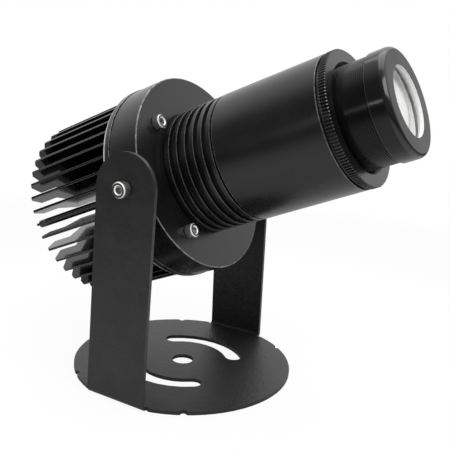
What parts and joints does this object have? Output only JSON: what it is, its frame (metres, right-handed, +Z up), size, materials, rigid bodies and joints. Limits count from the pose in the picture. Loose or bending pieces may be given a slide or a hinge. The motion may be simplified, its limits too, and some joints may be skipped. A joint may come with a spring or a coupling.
{
  "type": "gobo projector",
  "caption": "Compact spot projector: finned, ribbed and lensed round head that tilts between the arms of a bent sheet bracket with a slotted round base.",
  "frame": {"origin": "centre of the round base, on its underside", "axes": "+Z up, out of the base; -Y the side the lens faces; X along the tilt axis, from arm to arm"},
  "size_m": [0.121, 0.2049, 0.1775],
  "materials": {
    "powder_coat": "fine matte black powder coat on steel sheet",
    "black_anodised": "satin black anodised, turned",
    "stainless": "plain stainless steel",
    "seal_rubber": "matte",
    "nylon": "black nylon",
    "optical_glass": "polished and coated",
    "board_white": "white solder mask on a metal-core board",
    "phosphor_yellow": "yellow silicone over the emitter",
    "lead_red": "red wire insulation",
    "lead_black": "black wire insulation"
  },
  "bodies": {
    "bracket": {"yoke_bracket": "powder_coat"},
    "head": {"heat_sink": "black_anodised", "lamp_housing": "black_anodised", "housing_seal": "seal_rubber", "flange_screw_1": "stainless", "flange_screw_2": "stainless", "flange_screw_3": "stainless", "flange_screw_4": "stainless", "ribbed_neck": "black_anodised", "barrel": "black_anodised", "left_pivot_screw": "stainless", "left_pivot_spacer": "nylon", "right_pivot_screw": "stainless", "right_pivot_spacer": "nylon", "thermal_pad": "seal_rubber", "led_board": "board_white", "led_emitter": "phosphor_yellow", "board_screw_1": "stainless", "board_screw_2": "stainless", "supply_lead_positive": "lead_red", "supply_lead_negative": "lead_black", "gland_body": "nylon", "gland_locknut": "nylon", "gland_cap_nut": "nylon", "gland_seal": "seal_rubber", "condenser_cell": "black_anodised", "collimator_lens": "optical_glass", "condenser_lens": "optical_glass", "condenser_retainer": "black_anodised", "gobo_holder": "black_anodised", "gobo_glass": "optical_glass", "gobo_snap_ring": "stainless", "gobo_lock_ring": "black_anodised"},
    "focus_barrel": {"focus_tube": "black_anodised", "front_cap": "black_anodised", "front_lens": "optical_glass", "front_lens_retainer": "black_anodised", "rear_lens": "optical_glass", "rear_lens_retainer": "black_anodised"},
    "focus_lock": {"lock_ring": "black_anodised"}
  },
  "joints": [
    {"name": "head_tilt", "type": "hinge", "parent": "bracket", "child": "head", "pos_m": [0, 0, 0.1065], "axis": [-1, 0, 0], "range_deg": [-63, 196]},
    {"name": "focus_travel", "type": "slide", "parent": "head", "child": "focus_barrel", "axis": [0, -0.9164, 0.4003], "range_m": [-0.0135, 0.008]},
    {"name": "lock_ring_turn", "type": "hinge", "parent": "head", "child": "focus_lock", "pos_m": [0, -0.08729, 0.14464], "axis": [0, -0.9164, 0.4003], "range_deg": [0, 360]}
  ]
}
